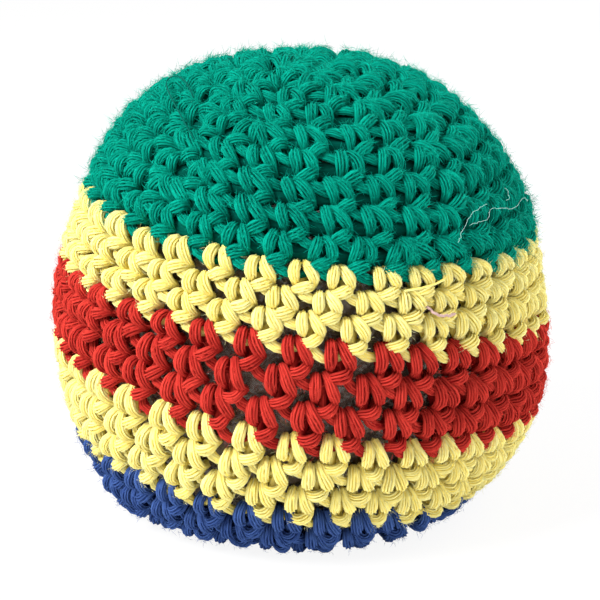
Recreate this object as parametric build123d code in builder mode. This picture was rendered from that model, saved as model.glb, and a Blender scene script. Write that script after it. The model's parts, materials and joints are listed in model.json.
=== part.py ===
"""A crocheted juggling ball: a cover of five yarn bands over a film bag of pellets.

The cover is worked in rounds of single crochet from the crown down to the base.
Each round is a ring of flat facets, one to a stitch, that bulges between grooves.
Through the grooves of the middle bands go the gaps between the stitches.
The ball rests on its flattened base. Z is its axis, and z = 0 is the surface under it.
"""

import os
from math import asin, cos, degrees, pi, radians, sin

from build123d import *

# Driving dimensions, in millimetres
ball_radius = 32.5  # at the widest level, over the stitches
crown_rise = 35.3  # top of the ball above the widest level
base_drop = 24.5  # flattened base below the widest level
crown_fullness = 0.76  # above the widest level: 1 is an ellipse, and less is fuller
base_fullness = 0.85  # below the widest level
stitch_width = 5.65
wall = 3.0  # crocheted fabric, from its crests to its inside
groove_depth = 0.9  # between one round and the next
groove_half_width = 0.8
stitch_lean = 0.4  # of a stitch, that each round starts before the round above

# Levels where one yarn follows another, above the base
green_end = 40.9
upper_yellow_end = 31.8
red_end = 18.5
lower_yellow_end = 6.6

# Rounds in each band
green_rounds = 9
yellow_rounds = 3
red_rounds = 3
blue_side_rounds = 2
blue_base_rounds = 5
last_round = green_rounds + 2 * yellow_rounds + red_rounds + blue_side_rounds + blue_base_rounds - 1
base_flank = 40  # degrees, of the grooves between the rounds of the flattened base

# Gaps between stitches: a small triangle over each stitch, seen from outside
gap_width = 2.2
gap_height = 1.9

# Film bag, its filling and what is tucked between bag and cover
bag_sides = 16  # flat gores round the bag, and round the hollow that holds it
bag_rings = 7
bag_top_angle = 84  # above this the bag is its flat top
bag_clearance = 0.1
film = 0.25
fill_clearance = 0.05
pocket_radius = 5.5  # hollow in the bag's top, where its neck is tucked
pocket_floor_radius = 3.6
pocket_depth = 6.0
neck_pleats = 10
neck_root = 1.8
neck_waist = 1.0
neck_flare = 2.8
neck_height = 4.4
tie_radius = 0.45
tie_height = 1.9
knot_sides = 6
knot_radius = 1.5
knot_seat = 0.5  # how far a knot sinks into the fabric
tail_radius = 0.8
long_tail = 4.6  # from the middle of its knot
short_tail = 1.8
join_azimuth = 90  # at the back, where one yarn follows another
start_knot_angle = 72
end_knot_angle = -44
end_knot_azimuth = 255

os.makedirs("parts", exist_ok=True)


def outline(angle, depth=0.0):
    """Radius and height of the ball's outline at an angle, some depth below it."""
    reach = crown_rise if angle > 0 else ball_radius
    fullness = crown_fullness if angle > 0 else base_fullness
    turn = radians(angle)
    radius = (ball_radius - depth) * cos(turn) ** fullness
    return radius, base_drop + (reach - depth) * sin(turn)


def angle_at(height, depth=0.0):
    """The outline's angle from the widest level, at a height, some depth below it."""
    rise = height - base_drop
    reach = crown_rise if rise > 0 else ball_radius
    return degrees(asin(rise / (reach - depth)))


def grooves(start, end, rounds):
    """The angles of the grooves over, between and under a band's rounds."""
    return [start + (end - start) * i / rounds for i in range(rounds + 1)]


def stitches(radius):
    """How many stitches go round at a radius."""
    return max(5, round(2 * pi * radius / stitch_width))


def faceted_stack(sections, sides, turn=0.0, base=Plane.XY):
    """A closed solid with flat facets, through (radius, height) sections over a plane.

    Its faces are made one by one, because a loft gives curved ones even where they are flat.
    """
    corners = [radians(turn + 360 * side / sides) for side in range(sides)]
    rings = [
        [base.from_local_coords((radius * cos(a), radius * sin(a), height)) for a in corners]
        for radius, height in sections
    ]
    facets = [Face(Wire.make_polygon(ring)) for ring in (rings[0], rings[-1])]
    for upper, lower in zip(rings, rings[1:]):
        for side in range(sides):
            edge = [upper[side - 1], upper[side], lower[side], lower[side - 1]]
            facets.append(Face(Wire.make_polygon(edge)))
    with BuildPart() as stack:
        add(Solid(Shell(facets)))
    return stack.part


def first_stitch(count, number):
    """Where a round's first facet is turned to, as the stitches lean."""
    return -number * stitch_lean * 360 / count


def stitch_round(top, bottom, number):
    """One round between two groove angles, crest and all, filled to the axis."""
    edge = degrees(groove_half_width / ball_radius)
    crest = [outline(top - edge), outline(bottom + edge), outline(bottom, groove_depth)]
    if top < 90:
        crest.insert(0, outline(top, groove_depth))
    count = stitches(outline((top + bottom) / 2)[0])
    return faceted_stack(crest, count, first_stitch(count, number))


def stitch_gaps(angle, number):
    """Cutters for the gaps along one groove, above the stitches of the round below."""
    radius, height = outline(angle)
    turn = radians(angle)
    count = stitches(radius)
    mouth = Plane((radius, 0, height), x_dir=(0, 1, 0), z_dir=(cos(turn), 0, sin(turn)))
    with BuildPart() as gap:
        with BuildSketch(mouth):
            with BuildLine():
                Polyline(
                    (-gap_width / 2, -gap_height / 2),
                    (gap_width / 2, -gap_height / 2),
                    (0, gap_height / 2),
                    close=True,
                )
            make_face()
        extrude(amount=-1.5 * wall)
    with BuildPart() as row:
        with PolarLocations(0, count, start_angle=first_stitch(count, number)):
            add(gap.part)
    return row.part


def bag_form(depth, floor):
    """The bag's full form at a depth below the stitches, down to its flat floor."""
    bottom = angle_at(floor, depth)
    step = (bag_top_angle - bottom) / bag_rings
    rings = [outline(bag_top_angle - step * i, depth) for i in range(bag_rings + 1)]
    return faceted_stack(rings, bag_sides, 180 / bag_sides)


def neck_pocket(room=0.0):
    """The hollow in the bag's top, grown by some room."""
    top = crown_rise + base_drop - wall
    floor = top - pocket_depth - room
    sections = [(pocket_floor_radius + room, floor), (pocket_radius + room, top)]
    return faceted_stack(sections, bag_sides, 180 / bag_sides)


def yarn_knot(angle, azimuth, tails, room=0.0):
    """A knot with trimmed tails to either side along its round, grown by some room."""
    radius, height = outline(angle, wall + knot_radius - knot_seat)
    turn = radians(azimuth)
    middle = (radius * cos(turn), radius * sin(turn), height)
    across = Plane(middle, x_dir=(0, 0, 1), z_dir=(-sin(turn), cos(turn), 0))
    left, right = (length + room for length in tails)
    bead = knot_radius + room
    tail = tail_radius + room
    sections = [(tail, -left), (tail, -bead), (bead, -bead / 2)]
    sections += [(bead, bead / 2), (tail, bead), (tail, right)]
    return faceted_stack(sections, knot_sides, 180 / knot_sides, across)


def cover_band(start, end, rounds, first_number, gap_grooves=()):
    """A band of rounds between two levels, hollow inside, with its rows of gaps."""
    seams = grooves(start, end, rounds)
    with BuildPart() as band:
        for number, (top, bottom) in enumerate(zip(seams, seams[1:]), first_number):
            add(stitch_round(top, bottom, number))
        add(bag_form(wall, wall), mode=Mode.SUBTRACT)
        for groove in gap_grooves:
            add(stitch_gaps(seams[groove], first_number + groove), mode=Mode.SUBTRACT)
    return band.part


def base_round(outer, inner, depth, number):
    """A round of the flattened base: a ring of facets, level with the surface."""
    count = stitches((outer + inner) / 2)
    turn = first_stitch(count, number)
    with BuildPart() as ring:
        with BuildSketch(Plane.XY.offset(depth)):
            RegularPolygon(outer, count, rotation=turn)
            if number < last_round:
                RegularPolygon(inner, count, rotation=turn, mode=Mode.SUBTRACT)
        extrude(amount=-depth, taper=base_flank)
    return ring.part


# Angles on the outline where one yarn follows another, and where the base flattens
green_to_yellow = angle_at(green_end)
yellow_to_red = angle_at(upper_yellow_end)
red_to_yellow = angle_at(red_end)
yellow_to_blue = angle_at(lower_yellow_end)
base_edge = angle_at(0)

# Knots between cover and bag: name, angle, azimuth, and the length of their two tails
both_tails = (long_tail, long_tail)
knots = [
    ("green_start_knot", start_knot_angle, end_knot_azimuth, (short_tail, long_tail)),
    ("green_yellow_knot", green_to_yellow, join_azimuth, both_tails),
    ("yellow_red_knot", yellow_to_red, join_azimuth, both_tails),
    ("red_yellow_knot", red_to_yellow, join_azimuth, both_tails),
    ("yellow_blue_knot", yellow_to_blue, join_azimuth, both_tails),
    ("blue_end_knot", end_knot_angle, end_knot_azimuth, (long_tail, short_tail)),
]


def all_knots(room=0.0):
    """Every knot, grown by some room, to seat them in what they press on."""
    return [yarn_knot(angle, azimuth, tails, room) for _, angle, azimuth, tails in knots]


# Green crown, from the closed ring of stitches at the top
with BuildPart() as green_crown:
    add(cover_band(90, green_to_yellow, green_rounds, 0))
    add(all_knots(), mode=Mode.SUBTRACT)
green_crown.part.label = "green_crown"
export_step(green_crown.part, "parts/green_crown.step")

# Upper yellow band
number = green_rounds
with BuildPart() as upper_yellow_band:
    add(cover_band(green_to_yellow, yellow_to_red, yellow_rounds, number, [2]))
    add(all_knots(), mode=Mode.SUBTRACT)
upper_yellow_band.part.label = "upper_yellow_band"
export_step(upper_yellow_band.part, "parts/upper_yellow_band.step")

# Red band, round the widest level
number += yellow_rounds
with BuildPart() as red_band:
    add(cover_band(yellow_to_red, red_to_yellow, red_rounds, number, [1, 2]))
    add(all_knots(), mode=Mode.SUBTRACT)
red_band.part.label = "red_band"
export_step(red_band.part, "parts/red_band.step")

# Lower yellow band
number += red_rounds
with BuildPart() as lower_yellow_band:
    add(cover_band(red_to_yellow, yellow_to_blue, yellow_rounds, number, [1]))
    add(all_knots(), mode=Mode.SUBTRACT)
lower_yellow_band.part.label = "lower_yellow_band"
export_step(lower_yellow_band.part, "parts/lower_yellow_band.step")

# Blue base: the last rounds of the side, then flat rings pressed level by the weight
number += yellow_rounds
base_radius, base_groove = outline(base_edge, groove_depth)
ring_width = base_radius / blue_base_rounds
with BuildPart() as blue_base:
    add(cover_band(yellow_to_blue, base_edge, blue_side_rounds, number))
    for ring in range(blue_base_rounds):
        outer = base_radius - ring * ring_width
        inner = outer - ring_width
        add(base_round(outer, inner, base_groove, number + blue_side_rounds + ring))
    add(all_knots(), mode=Mode.SUBTRACT)
blue_base.part.label = "blue_base"
export_step(blue_base.part, "parts/blue_base.step")

# Film bag: one skin round the filling, dented by the knots, with its neck tucked in
bag_depth = wall + bag_clearance
pocket_floor = crown_rise + base_drop - wall - pocket_depth
neck = [
    (neck_root, pocket_floor - film / 2),
    (neck_waist, pocket_floor + tie_height - tie_radius),
    (neck_waist, pocket_floor + tie_height + tie_radius),
    (neck_flare, pocket_floor + neck_height),
]
with BuildPart() as bag_inside:
    add(bag_form(bag_depth + film, wall + film))
    add([neck_pocket(film), *all_knots(film)], mode=Mode.SUBTRACT)
with BuildPart() as film_liner:
    add(bag_form(bag_depth, wall))
    add([neck_pocket(), *all_knots()], mode=Mode.SUBTRACT)
    add(bag_inside.part, mode=Mode.SUBTRACT)
    add(faceted_stack(neck, neck_pleats))
film_liner.part.label = "film_liner"
export_step(film_liner.part, "parts/film_liner.step")

# Thread round the bag's neck
tie_level = Plane.XY.offset(pocket_floor + tie_height)
tie_half = tie_radius / 2
thread = [(neck_waist + tie_half, -tie_radius), (neck_waist + 2 * tie_radius, -tie_half)]
thread += [(neck_waist + 2 * tie_radius, tie_half), (neck_waist + tie_half, tie_radius)]
with BuildPart() as liner_tie:
    add(faceted_stack(thread, neck_pleats, 0, tie_level))
    with BuildSketch(tie_level):
        RegularPolygon(neck_waist, neck_pleats)
    extrude(amount=tie_radius, both=True, mode=Mode.SUBTRACT)
liner_tie.part.label = "liner_tie"
export_step(liner_tie.part, "parts/liner_tie.step")

# Pellets, as the one form that they fill the bag to
fill_room = film + fill_clearance
with BuildPart() as pellet_fill:
    add(bag_form(bag_depth + fill_room, wall + film))
    add([neck_pocket(fill_room), *all_knots(fill_room)], mode=Mode.SUBTRACT)
pellet_fill.part.label = "pellet_fill"
export_step(pellet_fill.part, "parts/pellet_fill.step")

# Knots
for (name, *_), knot in zip(knots, all_knots()):
    knot.label = name
    export_step(knot, f"parts/{name}.step")
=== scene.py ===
# %% [markdown]
# # A crocheted juggling ball
#
# The ball is worked in one spiral of single crochet, from a green crown down to a blue base.
# Inside the crocheted cover is a clear film bag, full of loose plastic pellets.
# This lesson dresses the plain CAD ball in real yarn, stitch by stitch.

import json
import math

import bpy
import numpy as np
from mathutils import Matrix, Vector, noise

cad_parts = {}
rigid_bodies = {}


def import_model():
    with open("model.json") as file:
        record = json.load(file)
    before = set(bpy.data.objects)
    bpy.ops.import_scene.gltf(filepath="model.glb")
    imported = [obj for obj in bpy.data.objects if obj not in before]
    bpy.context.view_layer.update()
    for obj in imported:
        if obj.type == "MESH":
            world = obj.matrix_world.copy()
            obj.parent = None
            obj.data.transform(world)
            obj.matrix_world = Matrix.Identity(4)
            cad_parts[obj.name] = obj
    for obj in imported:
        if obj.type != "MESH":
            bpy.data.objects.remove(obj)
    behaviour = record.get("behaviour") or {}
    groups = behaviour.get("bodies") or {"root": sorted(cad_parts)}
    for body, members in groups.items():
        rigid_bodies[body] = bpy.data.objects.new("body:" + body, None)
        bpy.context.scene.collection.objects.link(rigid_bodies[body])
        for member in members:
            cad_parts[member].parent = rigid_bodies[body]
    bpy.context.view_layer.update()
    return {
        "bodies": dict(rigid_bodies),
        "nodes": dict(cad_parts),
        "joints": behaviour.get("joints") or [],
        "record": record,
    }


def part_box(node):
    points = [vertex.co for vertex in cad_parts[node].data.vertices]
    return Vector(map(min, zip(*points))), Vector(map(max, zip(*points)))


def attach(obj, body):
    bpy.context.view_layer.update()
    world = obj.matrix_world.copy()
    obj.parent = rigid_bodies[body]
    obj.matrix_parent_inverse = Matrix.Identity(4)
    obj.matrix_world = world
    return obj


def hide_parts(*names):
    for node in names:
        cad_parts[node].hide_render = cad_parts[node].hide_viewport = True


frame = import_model()

# %% [markdown]
# ## A short way to write nodes
#
# Shaders and Geometry Nodes both do their sums with Math nodes.
# A small class wraps a socket and overloads the operators, so a sum is written as a sum.
# A second class makes any other node from its type, its settings and its inputs.


# %% Nodes as expressions
class Value:
    """A node's output. Arithmetic on it adds Math nodes."""

    def __init__(self, graph, socket):
        self.graph = graph
        self.socket = socket

    def math(self, operation, *others):
        inputs = dict(enumerate((self, *others)))
        return self.graph.add("ShaderNodeMath", {"operation": operation}, inputs)

    def out(self, name):
        return Value(self.graph, self.socket.node.outputs[name])

    def __add__(self, other):
        return self.math("ADD", other)

    def __sub__(self, other):
        return self.math("SUBTRACT", other)

    def __rsub__(self, other):
        return (self * -1) + other

    def __mul__(self, other):
        return self.math("MULTIPLY", other)

    def __truediv__(self, other):
        return self.math("DIVIDE", other)

    __radd__ = __add__
    __rmul__ = __mul__


class Graph:
    """A node tree that nodes are added to, each with its settings first."""

    def __init__(self, tree):
        self.tree = tree

    def add(self, kind, settings=None, inputs=None):
        node = self.tree.nodes.new(kind)
        for name, value in (settings or {}).items():
            setattr(node, name, value)
        for name, value in (inputs or {}).items():
            self.feed(self.find(node, name), value)
        shown = [socket for socket in node.outputs if socket.enabled]
        return Value(self, shown[0]) if shown else node

    def find(self, node, name):
        if isinstance(name, int):
            return node.inputs[name]
        return next(s for s in node.inputs if s.name == name and s.enabled)

    def feed(self, socket, value):
        if isinstance(value, Value):
            self.tree.links.new(value.socket, socket)
        else:
            socket.default_value = value


# %% [markdown]
# ## The ball's outline
#
# The spiral is laid on the ball's outline. A place on it has two numbers: how many rounds
# down from the crown it is, and how far round. The heights where one yarn follows another
# come from the CAD bands, and so do the ball's widest radius and the crown's rise.

# %% Rounds and levels, from the frame
MM = 0.001
WIDE_LEVEL = 24.5 * MM
CROWN_FULLNESS = 0.76  # above the widest level: 1 is an ellipse, and less is fuller
BASE_FULLNESS = 0.85  # below the widest level
ROUNDS = {
    "green_crown": 9,
    "upper_yellow_band": 3,
    "red_band": 3,
    "lower_yellow_band": 3,
    "blue_base": 2,
}
BASE_ROUNDS = 5
STITCH_WIDTH = 5.15 * MM

ball_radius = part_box("red_band")[1].x
crown_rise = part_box("green_crown")[1].z - WIDE_LEVEL
middle = np.array([0, 0, WIDE_LEVEL])
band_ends = np.cumsum(list(ROUNDS.values()))
side_rounds = int(band_ends[-1])
all_rounds = side_rounds + BASE_ROUNDS
print("rounds:", all_rounds, "widest radius in mm:", round(ball_radius / MM, 2))


# %% The outline as a smooth curve
def outline_at(angle):
    """Radius and height of the outline, at its angle from the widest level."""
    reach = np.where(angle > 0, crown_rise, ball_radius)
    fullness = np.where(angle > 0, CROWN_FULLNESS, BASE_FULLNESS)
    radius = ball_radius * np.maximum(np.cos(angle), 0) ** fullness
    return radius, WIDE_LEVEL + reach * np.sin(angle)


def band_angles():
    """The outline's angle at the end of each band."""
    rises = np.array([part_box(band)[0].z for band in ROUNDS]) - WIDE_LEVEL
    return np.arcsin(rises / np.where(rises > 0, crown_rise, ball_radius))


def sharp_outline(rounds_down):
    """Radius and height at each number of rounds down, with a corner at the base."""
    down = np.abs(rounds_down)
    angles = np.linspace(math.pi / 2, band_angles()[-1], 600)
    radii, heights = outline_at(angles)
    run = np.concatenate([[0], np.cumsum(np.hypot(np.diff(radii), np.diff(heights)))])
    band_runs = np.interp(-band_angles(), -angles, run)
    at = np.interp(down, [0, *band_ends], [0, *band_runs])
    radius, height = np.interp(at, run, radii), np.interp(at, run, heights)
    flat = down > side_rounds
    radius[flat] = radii[-1] * (all_rounds - down[flat]) / BASE_ROUNDS
    height[flat] = 0
    return radius * np.sign(rounds_down + 1e-9), height


CORNER_ROUNDING = 0.45  # of a round
BEYOND = 3  # rounds, carried on past both ends so that they smooth well
GRID_STEPS = 1500
KERNEL_REACH = 90  # steps

grid = np.linspace(-BEYOND, all_rounds + BEYOND, GRID_STEPS)
kernel_steps = np.arange(-KERNEL_REACH, KERNEL_REACH + 1)
kernel = np.exp(-0.5 * (kernel_steps * (grid[1] - grid[0]) / CORNER_ROUNDING) ** 2)
kernel /= kernel.sum()
grid_radius, grid_height = (np.convolve(line, kernel, "same") for line in sharp_outline(grid))
slope_radius, slope_height = np.gradient(grid_radius, grid), np.gradient(grid_height, grid)
round_height = np.hypot(slope_radius, slope_height)


def unit(vectors):
    return vectors / np.maximum(np.linalg.norm(vectors, axis=-1, keepdims=True), 1e-12)


def outline_radius(rounds_down):
    return np.interp(rounds_down, grid, grid_radius)


# Where the ball bulges or is dented: angle round it and over its middle, width, and rise in mm
LUMPS = [
    (-6, -18, 15, 1.2),
    (-22, -52, 11, -0.9),
    (196, -42, 10, 1.0),
    (212, -62, 10, -0.5),
    (170, 29, 8, -1.8),
    (10, 29, 10, 0.6),
]


def lump_rise(points):
    """How far the lumps push the surface out at some points."""
    way = unit(points - middle)
    rise = np.zeros(way.shape[:-1])
    for azimuth, latitude, width, height in LUMPS:
        turn, lift = math.radians(azimuth), math.radians(latitude)
        peak = (math.cos(turn) * math.cos(lift), math.sin(turn) * math.cos(lift), math.sin(lift))
        apart = np.degrees(np.arccos(np.clip(way @ np.array(peak), -1, 1)))
        rise += height * MM * np.exp(-0.5 * (apart / width) ** 2)
    return rise


def place(rounds_down, around, depth):
    """Points under the ball's surface, and the way out of it there."""
    radius, height, dr, dz = (
        np.interp(rounds_down, grid, line)
        for line in (grid_radius, grid_height, slope_radius, slope_height)
    )
    size = np.hypot(dr, dz)
    out_radius, out_height = -dz / size, dr / size
    radius = radius - depth * out_radius
    height = height - depth * out_height
    turn = np.stack([np.cos(around), np.sin(around)], -1)
    points = np.concatenate([radius[..., None] * turn, height[..., None]], -1)
    outward = np.concatenate([out_radius[..., None] * turn, out_height[..., None]], -1)
    return points + outward * lump_rise(points)[..., None], outward


print("height of a round in mm, at the widest level:",
      round(float(np.interp(band_ends[1], grid, round_height)) / MM, 2))

# %% [markdown]
# ## The spiral of stitches
#
# Single crochet makes one stitch after another along a spiral. As many go round as the ball
# is wide there, so the crown grows and the base shrinks by themselves.
# Each stitch is worked into a hole under the row above, the nearest one to it.

# %% Which hole each stitch is worked into
HOLE_PLACE = 0.65  # of a stitch, from a stitch to the hole that the next row uses
WIDTH_PLACE = 0.75  # of a round down a stitch, where its width counts
RING_HOLE = 0.15  # rounds from the crown's middle to the first holes
RING_STITCHES = 6
MOST_STITCHES = 37
LEAD_FROM = 16.0  # rounds down, where the rows start to be gathered in
LEAD = 0.45  # of a stitch: how early each hole is passed there


def hole_of(stitch):
    """How many rounds along the spiral the hole of a stitch is."""
    return starts[stitch] * (1 - HOLE_PLACE) + starts[stitch + 1] * HOLE_PLACE


starts, parents, counts = [0.0], [0], []
while starts[-1] < all_rounds - 1:
    stitch = len(starts) - 1
    circle = 2 * math.pi * outline_radius(starts[-1] + WIDTH_PLACE)
    counts.append(min(max(circle / STITCH_WIDTH, RING_STITCHES), MOST_STITCHES - HOLE_PLACE))
    if starts[-1] >= 1:
        nearby = range(parents[-1], min(parents[-1] + 3, stitch))
        wanted = starts[stitch] + (LEAD / counts[-1] if starts[stitch] > LEAD_FROM else 0)
        parents[-1] = min(nearby, key=lambda k: abs(hole_of(k) + 1 - wanted))
    parents.append(parents[-1])
    starts.append(starts[-1] + 1 / counts[-1])
parents = np.array(parents)
passed = (np.diff(parents, prepend=0) > 1).astype(int)  # 1 where two holes are drawn together
counts = np.array([*counts, counts[-1]])
worked_in = np.array(starts) >= 1

# %% [markdown]
# Pulling the yarn through evens the stitches out: each wants its own width, and each wants
# to stand over its hole. Least squares settles the two wishes for the whole ball at once.

# %% Where the stitches stand
HOLE_WISH = 0.02  # how much standing over the hole counts, next to an even width
START_HOLD = 100  # how firmly the first stitch is held


def spiral_angle(rounds):
    """The angle round the ball, some rounds along the spiral, which starts in front."""
    return 2 * math.pi * rounds - math.pi / 2


total = len(starts)
widths = np.zeros((total - 1, total))
rows = np.arange(total - 1)
widths[rows, rows] = -counts[:-1]
widths[rows, rows + 1] = counts[:-1]
over_hole = np.zeros((total, total))
rows = np.flatnonzero(worked_in)
over_hole[rows, rows] = -counts[rows]
for used in (parents, parents - passed):
    over_hole[rows, used[rows]] += counts[rows] * (1 - HOLE_PLACE) / 2
    over_hole[rows, used[rows] + 1] += counts[rows] * HOLE_PLACE / 2
first = np.zeros((1, total))
first[0, 0] = START_HOLD
wish = math.sqrt(HOLE_WISH)
starts = np.linalg.lstsq(
    np.concatenate([widths, over_hole * wish, first]),
    np.concatenate([np.ones(total - 1), -counts * worked_in * wish, [0]]), rcond=None)[0]

around = spiral_angle(starts)
pitch = np.gradient(around)
holes = starts + HOLE_PLACE * np.gradient(starts)
holes_used = (holes[parents] + holes[parents - passed]) / 2 + 1
hole_around = np.where(worked_in, spiral_angle(holes_used), around)
hole_rounds = np.where(worked_in, holes_used, np.maximum(starts, RING_HOLE))
print("stitches:", total)
print("stitches in each round:", np.bincount(np.maximum(starts, 0).astype(int)).tolist())

# %% [markdown]
# ## One stitch
#
# The yarn of one stitch comes from the stitch before it, lies across as an arched bump,
# goes back inside, comes out of its hole, runs down as the left leg, passes inside, climbs
# as the right leg and goes back in. Each row below is one point of that route.
# Across and down are in stitches and rounds from the hole, and depth is under the surface.

# %% The route of one stitch
LEFT_LEG = [
    (-0.09, -0.08, 2.7, 0.60),
    (-0.125, 0.08, 1.0, 1.0),
    (-0.145, 0.38, 0.65, 1.15),
    (-0.13, 0.66, 0.90, 1.0),
    (-0.10, 0.96, 3.3, 0.10),
]
RIGHT_LEG = [
    (0.36, 0.96, 3.3, 0.10),
    (0.335, 0.66, 0.95, 1.0),
    (0.24, 0.38, 0.70, 1.15),
    (0.14, 0.12, 1.20, 0.95),
    (0.07, -0.10, 2.7, 0.80),
]
BUMP = [
    (-1.02, 1.06, 1.9, 0.75),
    (-0.80, 1.24, 1.15, 0.90),
    (-0.54, 1.42, 1.7, 0.75),
    (-0.24, 1.32, 2.5, 0.65),
    (-0.12, 1.12, 1.9, 0.85),
    (0.02, 1.05, 0.85, 1.10),
    (0.16, 0.96, 0.70, 1.18),
    (0.28, 0.86, 1.10, 1.0),
    (0.39, 0.72, 3.4, 0.20),
]
BEHIND_BUMP = [(0.20, 0.98, 2.6, 0.68), (-0.02, 0.92, 2.7, 0.68), (-0.13, 0.5, 2.7, 0.68)]
BEHIND_LEGS = [(0.15, 0.90, 2.6, 0.66)]
BEHIND_HOLE = [(0.10, 0.12, 2.7, 0.66), (0.12, 0.60, 2.75, 0.66)]
ROUTE = [*BUMP, *BEHIND_BUMP, *LEFT_LEG, *BEHIND_LEGS, *RIGHT_LEG, *BEHIND_HOLE]
print("points in a stitch's route:", len(ROUTE))

# %% [markdown]
# The ball has slumped, and its rows have slid over it a little, to the right and back.
# No two stitches are pulled quite alike, so each point of each stitch is moved by chance.

# %% Every stitch in its place
SLID_AT = [0, 9, 12, 15, 18, all_rounds]  # rounds down
SLID_RIGHT = [-0.5, 0.85, 0.95, 1.05, 0.9, 0]  # rounds
SLID_BACK = [-1.1, -0.1, 0, 0, 0, 0]
UNEVEN = 0.04  # of a stitch or a round, for one standard deviation
UNEVEN_SEED = 7


def slid(rounds_down, around):
    """Rounds down and angle of places on the ball, once its rows have slid over it."""
    right = rounds_down * np.cos(around) + np.interp(rounds_down, SLID_AT, SLID_RIGHT)
    back = rounds_down * np.sin(around) + np.interp(rounds_down, SLID_AT, SLID_BACK)
    return np.hypot(right, back), np.arctan2(back, right)


def stitch_points():
    """Every stitch's route in space: points, the way out, depth and girth, by stitch."""
    across, down, depth, girth = np.array(ROUTE).T
    top, bottom = hole_rounds[:, None], (starts + 1)[:, None]
    rounds_down = top + (bottom - top) * down
    share = np.clip(down, 0, 1)
    middle = hole_around[:, None] * (1 - share) + around[:, None] * share
    uneven = np.random.default_rng(UNEVEN_SEED).normal(size=(4, len(starts), len(ROUTE)))
    slow = np.repeat(uneven[:, :, :1], len(ROUTE), 2)
    across = across + UNEVEN * (slow[0] + 0.5 * uneven[0])
    rounds_down = rounds_down + UNEVEN * (slow[1] + 0.5 * uneven[1])
    depth = depth + 2 * UNEVEN * (slow[2] + 0.5 * uneven[2])
    girth = girth * (1 + 1.5 * UNEVEN * slow[3])
    turned = middle + across * pitch[:, None]
    points, outward = place(*slid(rounds_down, turned), depth * MM)
    return points, outward, depth, girth


route_points, route_outward, route_depth, route_girth = stitch_points()
print("yarn length in m:", round(float(np.linalg.norm(np.diff(
    route_points.reshape(-1, 3), axis=0), axis=1).sum()), 2))

# %% [markdown]
# ## From points to lines
#
# A curve through the points rounds each bend. Where the yarn shows it is sampled finely,
# and where it is buried one sample to a point is enough. Each sample also carries a frame:
# the way out of the ball, turned along with the line, and the way across the yarn.

# %% Smooth lines with frames
def smooth_samples(values, steps):
    """Samples of the cubic B-spline on rows of values, the same number to each step."""
    flat = values.reshape(-1, values.shape[-1])
    padded = np.concatenate([flat[:1], flat, flat[-1:]])
    a, b, c, d = (padded[i: len(flat) - 1 + i] for i in range(4))
    samples = [((1 - t)**3 * a + (3 * t**3 - 6 * t**2 + 4) * b
                + (3 * t**2 - 3 * t**3 + 3 * t + 1) * c + t**3 * d) / 6
               for t in np.arange(steps) / steps]
    return np.stack(samples, 1).reshape(-1, values.shape[-1])


def carried_frames(points, outward):
    """For lines (line, sample, 3): the way out, carried along each line from its middle."""
    along = unit(np.gradient(points, axis=1))
    count = points.shape[1]
    middle = count // 2
    out = np.zeros_like(points)
    start = outward[:, middle]
    out[:, middle] = start - (start * along[:, middle]).sum(-1, keepdims=True) * along[:, middle]
    for step in (1, -1):
        for i in range(middle + step, count if step > 0 else -1, step):
            last = out[:, i - step]
            out[:, i] = last - (last * along[:, i]).sum(-1, keepdims=True) * along[:, i]
            out[:, i] = unit(out[:, i])
    out[:, middle] = unit(out[:, middle])
    return out, np.cross(along, out)


SHOWN_STEPS = 2
route_values = np.concatenate([
    route_points, route_outward, route_depth[..., None], route_girth[..., None]], -1)
fine = smooth_samples(route_values, SHOWN_STEPS)
per_stitch = len(ROUTE) * SHOWN_STEPS
print("samples to a stitch:", per_stitch)


# %% The parts of a stitch that show, and those that are buried
def span(first, points):
    """Samples (stitch, sample, value) of part of the route, from its first point on."""
    begin = first * SHOWN_STEPS
    picks = np.arange(begin, begin + (points - 1) * SHOWN_STEPS + 1)
    rows = np.arange(len(starts) - 1)[:, None] * per_stitch + picks
    return fine[rows]


ARM_POINTS = 1  # of the bump's points, behind the legs
left_start = len(BUMP) + len(BEHIND_BUMP)
right_start = left_start + len(LEFT_LEG) + len(BEHIND_LEGS)
bump_span = span(0, len(BUMP))
arm_end = ARM_POINTS * SHOWN_STEPS
shown_spans = [
    np.concatenate([bump_span[:, :arm_end:SHOWN_STEPS], bump_span[:, arm_end:]], 1),
    span(left_start, len(LEFT_LEG)), span(right_start, len(RIGHT_LEG))]
buried_spans = [
    span(len(BUMP) - 1, len(BEHIND_BUMP) + 2)[:, ::SHOWN_STEPS],
    span(left_start + len(LEFT_LEG) - 1, len(BEHIND_LEGS) + 2)[:, ::SHOWN_STEPS],
    span(right_start + len(RIGHT_LEG) - 1, len(BEHIND_HOLE) + 2)[:, ::SHOWN_STEPS],
]
inner_spans = [part[:, ::SHOWN_STEPS] for part in shown_spans] + buried_spans
print("samples that show:", [part.shape[1] for part in shown_spans])


# %% [markdown]
# Each piece is a plain mesh at the origin. Four small helpers put an object in the scene,
# read and set its points, and give each point a number or a vector to carry.


# %% Helpers for objects and meshes
def put(name, data):
    """A new object in the scene, at the origin."""
    piece = bpy.data.objects.new(name, data)
    bpy.context.scene.collection.objects.link(piece)
    return piece


def give(mesh, name, values):
    """Stores a number or a vector with each point of a mesh."""
    flat = values.ravel()
    kind, field = ("FLOAT", "value") if len(flat) == len(mesh.vertices) else (
        "FLOAT_VECTOR", "vector")
    mesh.attributes.new(name, kind, "POINT").data.foreach_set(field, flat)


def plain_mesh(piece):
    """The mesh of an object, with its modifiers worked in."""
    graph = bpy.context.evaluated_depsgraph_get()
    return bpy.data.meshes.new_from_object(piece.evaluated_get(graph), depsgraph=graph)


def coordinates(mesh):
    points = np.empty(3 * len(mesh.vertices), np.float32)
    mesh.vertices.foreach_get("co", points)
    return points.reshape(-1, 3)


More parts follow.
